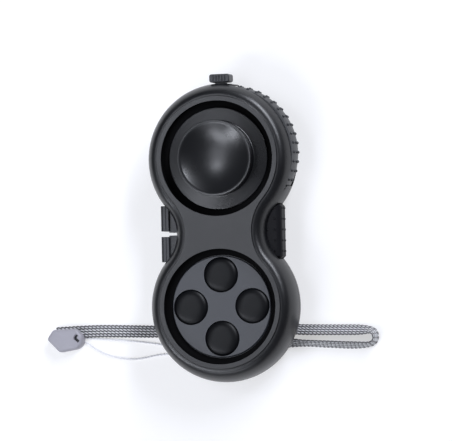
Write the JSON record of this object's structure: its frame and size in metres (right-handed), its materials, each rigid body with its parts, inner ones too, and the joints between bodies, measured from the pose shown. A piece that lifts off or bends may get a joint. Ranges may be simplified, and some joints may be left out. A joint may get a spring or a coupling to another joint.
{
  "type": "fidget pad",
  "caption": "Figure-eight hand-held fidget pad with glide joystick, buttons, side wheel, triggers, massage panel, slider, rear dial and wrist lanyard.",
  "frame": {"origin": "on the table, below the middle of the pad's own box, lanyard left out", "axes": "+Z is the pad's front face up, +Y runs along the pad to the joystick end, +X is the pad's right-hand side"},
  "size_m": [0.1162, 0.1042, 0.0224],
  "materials": {
    "casing": "satin moulded",
    "joystick_plastic": "satin moulded",
    "button_plate_plastic": "fine matt moulded",
    "button_rubber": "smooth silicone rubber",
    "silicone": "translucent",
    "inner_plastic": "plain moulded",
    "wheel_plastic": "moulded with small bumps",
    "dial_plastic": "satin moulded",
    "trigger_plastic": "moulded",
    "panel_rubber": "soft with small dots",
    "knob_plastic": "moulded",
    "spring_steel": "drawn wire",
    "screw_steel": "zinc plated",
    "clip_plastic": "plain moulded",
    "string_cord": "thin twisted cord",
    "strap_braid": "flat braided"
  },
  "bodies": {
    "root": {"front_shell": "casing", "rear_shell": "casing", "slider_rail": "casing", "button_plate": "button_plate_plastic", "button_membrane": "silicone", "dome_top": "silicone", "dome_right": "silicone", "dome_bottom": "silicone", "dome_left": "silicone", "gear_keeper": "inner_plastic", "membrane_tray": "inner_plastic", "massage_panel": "panel_rubber", "x_centring_springs": "spring_steel", "click_spring": "spring_steel", "trigger_spring_upper": "spring_steel", "trigger_spring_lower": "spring_steel", "keeper_screws": "screw_steel", "tray_screws": "screw_steel", "case_screws": "screw_steel", "trigger_pins": "screw_steel", "lanyard_bar": "screw_steel", "lanyard_clip": "clip_plastic", "strap_crimp": "clip_plastic", "string_strand_upper": "string_cord", "string_strand_lower": "string_cord", "string_hitch": "string_cord", "wrist_strap": "strap_braid"},
    "cross_slide": {"cross_slide": "inner_plastic", "y_centring_springs": "spring_steel"},
    "joystick": {"joystick": "joystick_plastic", "joystick_retainer": "inner_plastic", "joystick_screw": "screw_steel"},
    "gear_wheel": {"gear_wheel": "wheel_plastic"},
    "spin_dial": {"spin_dial": "dial_plastic", "dial_clip": "inner_plastic"},
    "trigger_upper": {"trigger_upper": "trigger_plastic"},
    "trigger_lower": {"trigger_lower": "trigger_plastic"},
    "slider_knob": {"slider_knob": "knob_plastic"},
    "button_top": {"button_top": "button_rubber"},
    "button_right": {"button_right": "button_rubber"},
    "button_bottom": {"button_bottom": "button_rubber"},
    "button_left": {"button_left": "button_rubber"}
  },
  "joints": [
    {"name": "glide_x", "type": "slide", "parent": "root", "child": "cross_slide", "axis": [1, 0, 0], "range_m": [-0.0014, 0.0014], "stiffness_N_per_m": 150, "deforming": ["x_centring_springs"]},
    {"name": "glide_y", "type": "slide", "parent": "cross_slide", "child": "joystick", "axis": [0, 1, 0], "range_m": [-0.0014, 0.0014], "stiffness_N_per_m": 150, "deforming": ["y_centring_springs"]},
    {"name": "gear_turn", "type": "hinge", "parent": "root", "child": "gear_wheel", "pos_m": [0.00294, 0.02495, 0.0109], "axis": [0, 0, 1], "continuous": true},
    {"name": "dial_turn", "type": "hinge", "parent": "root", "child": "spin_dial", "pos_m": [0, 0.02345, 0.0018], "axis": [0, 0, 1], "continuous": true},
    {"name": "trigger_upper_press", "type": "hinge", "parent": "root", "child": "trigger_upper", "pos_m": [-0.0146, 0.00645, 0.0109], "axis": [0, 0, 1], "range_deg": [0, 8], "stiffness_Nm_per_rad": 0.03, "springref_deg": -5.73, "deforming": ["trigger_spring_upper"]},
    {"name": "trigger_lower_press", "type": "hinge", "parent": "root", "child": "trigger_lower", "pos_m": [-0.0146, -0.00955, 0.0109], "axis": [0, 0, -1], "range_deg": [0, 8], "stiffness_Nm_per_rad": 0.03, "springref_deg": -5.73, "deforming": ["trigger_spring_lower"]},
    {"name": "slider_travel", "type": "slide", "parent": "root", "child": "slider_knob", "axis": [1, 0, 0], "range_m": [-0.001, 0.001]},
    {"name": "button_top_press", "type": "slide", "parent": "root", "child": "button_top", "axis": [0, 0, -1], "range_m": [0, 0.0012], "stiffness_N_per_m": 250, "springref_m": -0.0003, "deforming": ["dome_top"]},
    {"name": "button_right_press", "type": "slide", "parent": "root", "child": "button_right", "axis": [0, 0, -1], "range_m": [0, 0.0012], "stiffness_N_per_m": 250, "springref_m": -0.0003, "deforming": ["dome_right"]},
    {"name": "button_bottom_press", "type": "slide", "parent": "root", "child": "button_bottom", "axis": [0, 0, -1], "range_m": [0, 0.0012], "stiffness_N_per_m": 250, "springref_m": -0.0003, "deforming": ["dome_bottom"]},
    {"name": "button_left_press", "type": "slide", "parent": "root", "child": "button_left", "axis": [0, 0, -1], "range_m": [0, 0.0012], "stiffness_N_per_m": 250, "springref_m": -0.0003, "deforming": ["dome_left"]}
  ]
}
